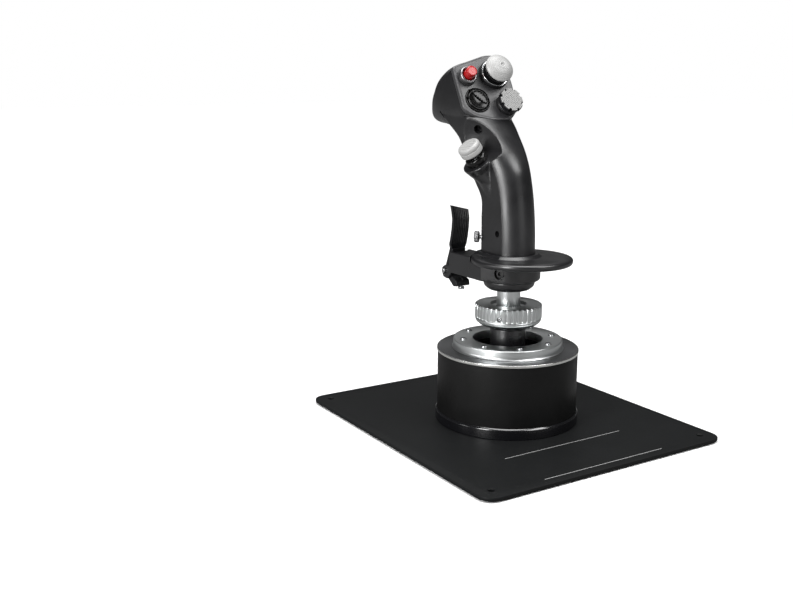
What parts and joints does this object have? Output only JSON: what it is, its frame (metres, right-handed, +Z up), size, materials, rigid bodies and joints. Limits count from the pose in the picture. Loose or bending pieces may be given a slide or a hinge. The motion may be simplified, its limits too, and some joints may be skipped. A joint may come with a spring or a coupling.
{
  "type": "flight joystick",
  "caption": "Desk flight stick: square steel base plate, round gimballed base, fluted lock nut and a pistol grip with thumb hats, buttons, trigger and pull paddle.",
  "frame": {"origin": "centre of the base plate's outline, at the underside of its feet, straight below the gimbal", "axes": "+Z up along the stick at rest, +Y forward away from the pilot, +X to the pilot's right"},
  "size_m": [0.24, 0.27, 0.309],
  "materials": {
    "black_steel": "matt black powder coat on steel plate",
    "black_metal": "satin black turned and anodised metal",
    "grip_metal": "fine satin black coat on cast metal",
    "black_plastic": "matt black moulded plastic",
    "gloss_black": "polished black moulded plastic",
    "rubber_black": "matt black rubber",
    "brushed_silver": "brushed bright aluminium",
    "steel_screw": "bright machine steel",
    "chrome_trim": "polished chrome",
    "white_plastic": "satin pale grey-white plastic",
    "grey_plastic": "matt light grey textured plastic",
    "red_plastic": "satin red plastic",
    "spring_steel": "plain spring steel wire",
    "board_green": "green circuit board laminate"
  },
  "bodies": {
    "base": {"base_plate": "black_steel", "foot_front_left": "rubber_black", "foot_front_right": "rubber_black", "foot_back_right": "rubber_black", "foot_back_left": "rubber_black", "base_band": "black_metal", "base_housing": "black_metal", "cable_gland": "rubber_black", "base_flange": "black_metal", "top_ring": "brushed_silver", "ring_screw_1": "steel_screw", "ring_screw_2": "steel_screw", "ring_screw_3": "steel_screw", "ring_screw_4": "steel_screw", "ring_screw_5": "steel_screw", "ring_screw_6": "steel_screw", "ring_screw_7": "steel_screw", "ring_screw_8": "steel_screw", "gimbal_cradle": "black_metal", "sensor_board": "board_green"},
    "pitch_ring": {"gimbal_ring": "brushed_silver"},
    "stick": {"stick_hub": "black_metal", "centring_spring": "spring_steel", "grip_stem": "brushed_silver", "grip_collar": "black_metal", "grip_footing": "black_metal", "footing_screw": "steel_screw", "hand_rest": "black_metal", "grip_left": "grip_metal", "grip_right": "grip_metal", "grip_screw_upper": "steel_screw", "grip_screw_lower": "steel_screw", "face_plate": "grip_metal", "grip_board": "board_green", "trim_collar": "black_plastic", "dish_cup": "gloss_black", "gear_collar": "black_plastic", "side_collar": "gloss_black", "red_bezel": "chrome_trim", "mode_bush": "steel_screw", "trigger_pin": "steel_screw", "paddle_pin": "steel_screw"},
    "nut": {"lock_nut": "brushed_silver", "nut_grub_screw": "steel_screw"},
    "paddle_lever": {"paddle": "black_plastic", "paddle_stop_screw": "steel_screw"},
    "trigger_blade": {"trigger": "red_plastic"},
    "red_push": {"red_button": "red_plastic"},
    "mode_push": {"mode_button": "brushed_silver"},
    "trim_tilt": {"trim_yoke": "steel_screw"},
    "trim_hat": {"trim_cap": "white_plastic"},
    "dish_tilt": {"dish_yoke": "steel_screw"},
    "dish_hat": {"dish_cap": "gloss_black"},
    "gear_tilt": {"gear_yoke": "steel_screw"},
    "gear_hat": {"gear_cap": "black_plastic", "gear_pad": "grey_plastic"},
    "side_tilt": {"side_yoke": "steel_screw"},
    "side_rocker": {"side_stem": "steel_screw"},
    "side_hat": {"side_cap": "white_plastic"}
  },
  "joints": [
    {"name": "stick_pitch", "type": "hinge", "parent": "base", "child": "pitch_ring", "pos_m": [0, 0, 0.042], "axis": [1, 0, 0], "range_deg": [-14, 14], "stiffness_Nm_per_rad": 7},
    {"name": "stick_roll", "type": "hinge", "parent": "pitch_ring", "child": "stick", "pos_m": [0, 0, 0.042], "axis": [0, 1, 0], "range_deg": [-14, 14], "stiffness_Nm_per_rad": 7},
    {"name": "nut_turn", "type": "hinge", "parent": "stick", "child": "nut", "pos_m": [0, 0, 0.095], "axis": [0, 0, 1], "continuous": true},
    {"name": "paddle_pull", "type": "hinge", "parent": "stick", "child": "paddle_lever", "pos_m": [-0.016, 0.0559, 0.1256], "axis": [1, 0, 0], "range_deg": [0, 8], "stiffness_Nm_per_rad": 1.2, "springref_deg": -1.15},
    {"name": "trigger_pull", "type": "hinge", "parent": "stick", "child": "trigger_blade", "pos_m": [0, 0.063, 0.25], "axis": [-1, 0, 0], "range_deg": [0, 8], "stiffness_Nm_per_rad": 0.5, "springref_deg": -1.15},
    {"name": "red_press", "type": "slide", "parent": "stick", "child": "red_push", "axis": [0.0905, 0.8613, -0.5], "range_m": [0, 0.0016], "stiffness_N_per_m": 700},
    {"name": "mode_press", "type": "slide", "parent": "stick", "child": "mode_push", "axis": [0.7071, -0.7071, 0], "range_m": [0, 0.0015], "stiffness_N_per_m": 600},
    {"name": "trim_pitch", "type": "hinge", "parent": "stick", "child": "trim_tilt", "pos_m": [0.01237, 0.0449, 0.29183], "axis": [0.9945, -0.1045, 0], "range_deg": [-6, 6], "stiffness_Nm_per_rad": 0.15},
    {"name": "trim_roll", "type": "hinge", "parent": "trim_tilt", "child": "trim_hat", "pos_m": [0.01237, 0.0449, 0.29183], "axis": [0.0523, 0.4973, 0.866], "range_deg": [-6, 6], "stiffness_Nm_per_rad": 0.15},
    {"name": "dish_pitch", "type": "hinge", "parent": "stick", "child": "dish_tilt", "pos_m": [-0.00928, 0.03979, 0.26951], "axis": [0.9945, -0.1045, 0], "range_deg": [-4, 4], "stiffness_Nm_per_rad": 0.15},
    {"name": "dish_roll", "type": "hinge", "parent": "dish_tilt", "child": "dish_hat", "pos_m": [-0.00928, 0.03979, 0.26951], "axis": [0.0523, 0.4973, 0.866], "range_deg": [-4, 4], "stiffness_Nm_per_rad": 0.15},
    {"name": "gear_pitch", "type": "hinge", "parent": "stick", "child": "gear_tilt", "pos_m": [0.01606, 0.03028, 0.26732], "axis": [0.9945, -0.1045, 0], "range_deg": [-6, 6], "stiffness_Nm_per_rad": 0.15},
    {"name": "gear_roll", "type": "hinge", "parent": "gear_tilt", "child": "gear_hat", "pos_m": [0.01606, 0.03028, 0.26732], "axis": [0.0523, 0.4973, 0.866], "range_deg": [-6, 6], "stiffness_Nm_per_rad": 0.15},
    {"name": "side_pitch", "type": "hinge", "parent": "stick", "child": "side_tilt", "pos_m": [-0.0211, 0.02, 0.22443], "axis": [0, 1, 0], "range_deg": [-6, 6], "stiffness_Nm_per_rad": 0.12},
    {"name": "side_roll", "type": "hinge", "parent": "side_tilt", "child": "side_rocker", "pos_m": [-0.0211, 0.02, 0.22443], "axis": [-0.7915, 0, -0.6112], "range_deg": [-6, 6], "stiffness_Nm_per_rad": 0.12},
    {"name": "side_press", "type": "slide", "parent": "side_rocker", "child": "side_hat", "axis": [0.6112, 0, -0.7915], "range_m": [0, 0.0012], "stiffness_N_per_m": 600}
  ]
}
